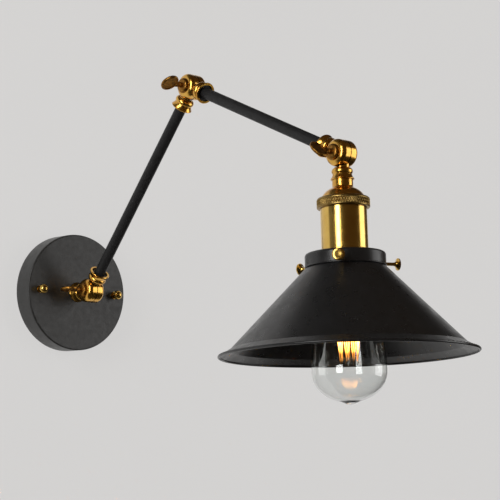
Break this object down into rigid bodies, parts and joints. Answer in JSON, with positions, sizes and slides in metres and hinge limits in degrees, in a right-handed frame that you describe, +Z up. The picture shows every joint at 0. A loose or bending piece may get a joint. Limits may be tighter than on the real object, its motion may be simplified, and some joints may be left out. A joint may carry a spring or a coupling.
{
  "type": "articulated wall lamp",
  "caption": "Swinging wall lamp: round canopy, two tube arms on knuckle joints with clamp screws, brass socket and a flared cone shade over a clear bulb.",
  "frame": {"origin": "centre of the canopy's open back, in the wall plane, between the crossbar's two wall slots", "axes": "+Y into the wall, so the lamp reaches out towards -Y; +Z up; +X along the three joint axes, to the right when facing the wall"},
  "size_m": [0.2212, 0.5296, 0.3197],
  "materials": {
    "black_metal": "matt charcoal powder coat",
    "black_shade": "matt black paint",
    "black_tube": "satin black paint",
    "aged_brass": "burnished antique brass, lacquered",
    "brass": "turned, lightly aged",
    "bulb_brass": "pressed thin brass",
    "dark_bronze": "dark bronzed",
    "zinc_steel": "zinc plated",
    "fibre": "pressed fibre",
    "porcelain": "white glaze",
    "clear_glass": "clear",
    "black_glass": "black vitrified glass",
    "filament": "glowing carbon wire",
    "filament_wire": "fine drawn wire"
  },
  "bodies": {
    "wall_plate": {"canopy": "black_metal", "crossbar": "zinc_steel", "canopy_studs": "zinc_steel", "ball_nuts": "brass", "earth_screw": "brass", "wall_knuckle": "aged_brass", "wall_collar_ring": "aged_brass", "wall_nipple": "zinc_steel", "wall_washer": "zinc_steel", "wall_lock_nut": "zinc_steel"},
    "lower_arm": {"lower_arm_knuckle": "aged_brass", "lower_arm_ring": "aged_brass", "lower_arm_tube": "black_tube", "elbow_inner_ring": "aged_brass", "elbow_inner_knuckle": "aged_brass", "wall_friction_washer": "fibre"},
    "upper_arm": {"elbow_outer_knuckle": "aged_brass", "elbow_outer_ring": "aged_brass", "upper_arm_tube": "black_tube", "upper_arm_ring": "aged_brass", "upper_arm_knuckle": "aged_brass", "elbow_friction_washer": "fibre"},
    "head": {"head_knuckle": "aged_brass", "head_ring": "aged_brass", "head_friction_washer": "fibre", "head_nipple": "zinc_steel", "cap_lock_nut": "zinc_steel", "socket_cap": "aged_brass", "knurled_ring": "aged_brass", "socket_shell": "aged_brass", "holder_plate": "zinc_steel", "porcelain_insert": "porcelain", "contact_shell": "brass", "centre_contact": "brass", "shade_ring": "aged_brass", "shade_fitter": "black_shade", "shade": "black_shade"},
    "bulb": {"bulb_glass": "clear_glass", "bulb_cap": "bulb_brass", "bulb_insulator": "black_glass", "bulb_button": "brass", "bulb_stem": "clear_glass", "bulb_filament": "filament", "filament_hooks": "filament_wire"},
    "wall_screw": {"wall_clamp_screw": "dark_bronze"},
    "elbow_screw": {"elbow_clamp_screw": "dark_bronze"},
    "head_screw": {"head_clamp_screw": "dark_bronze"},
    "shade_screw_body_1": {"shade_screw_1": "brass"},
    "shade_screw_body_2": {"shade_screw_2": "brass"},
    "shade_screw_body_3": {"shade_screw_3": "brass"}
  },
  "joints": [
    {"name": "wall_swing", "type": "hinge", "parent": "wall_plate", "child": "lower_arm", "pos_m": [0, -0.0455, 0], "axis": [1, 0, 0], "range_deg": [-40.4, 139.6]},
    {"name": "elbow_swing", "type": "hinge", "parent": "lower_arm", "child": "upper_arm", "pos_m": [0, -0.20429, 0.18658], "axis": [1, 0, 0], "range_deg": [-183.8, 36.2]},
    {"name": "head_tilt", "type": "hinge", "parent": "upper_arm", "child": "head", "pos_m": [0, -0.40952, 0.09434], "axis": [1, 0, 0], "range_deg": [-152.6, 27.4]},
    {"name": "wall_screw_turn", "type": "hinge", "parent": "lower_arm", "child": "wall_screw", "pos_m": [0, -0.0455, 0], "axis": [1, 0, 0], "range_deg": [-180, 180]},
    {"name": "elbow_screw_turn", "type": "hinge", "parent": "upper_arm", "child": "elbow_screw", "pos_m": [0, -0.20429, 0.18658], "axis": [1, 0, 0], "range_deg": [-180, 180]},
    {"name": "head_screw_turn", "type": "hinge", "parent": "head", "child": "head_screw", "pos_m": [0, -0.40952, 0.09434], "axis": [1, 0, 0], "range_deg": [-180, 180]},
    {"name": "bulb_unscrew", "type": "hinge", "parent": "head", "child": "bulb", "pos_m": [0, -0.41454, 0.00448], "axis": [0, -0.0558, -0.9984], "range_deg": [-180, 180]},
    {"name": "shade_screw_1_turn", "type": "hinge", "parent": "head", "child": "shade_screw_body_1", "pos_m": [-0.03527, -0.44274, 0.00085], "axis": [-0.7837, -0.6202, 0.0347], "range_deg": [-180, 180]},
    {"name": "shade_screw_2_turn", "type": "hinge", "parent": "head", "child": "shade_screw_body_2", "pos_m": [0.04184, -0.43137, 0.00022], "axis": [0.9298, -0.3676, 0.0205], "range_deg": [-180, 180]},
    {"name": "shade_screw_3_turn", "type": "hinge", "parent": "head", "child": "shade_screw_body_3", "pos_m": [-0.00657, -0.37038, -0.00319], "axis": [-0.1461, 0.9877, -0.0552], "range_deg": [-180, 180]}
  ]
}
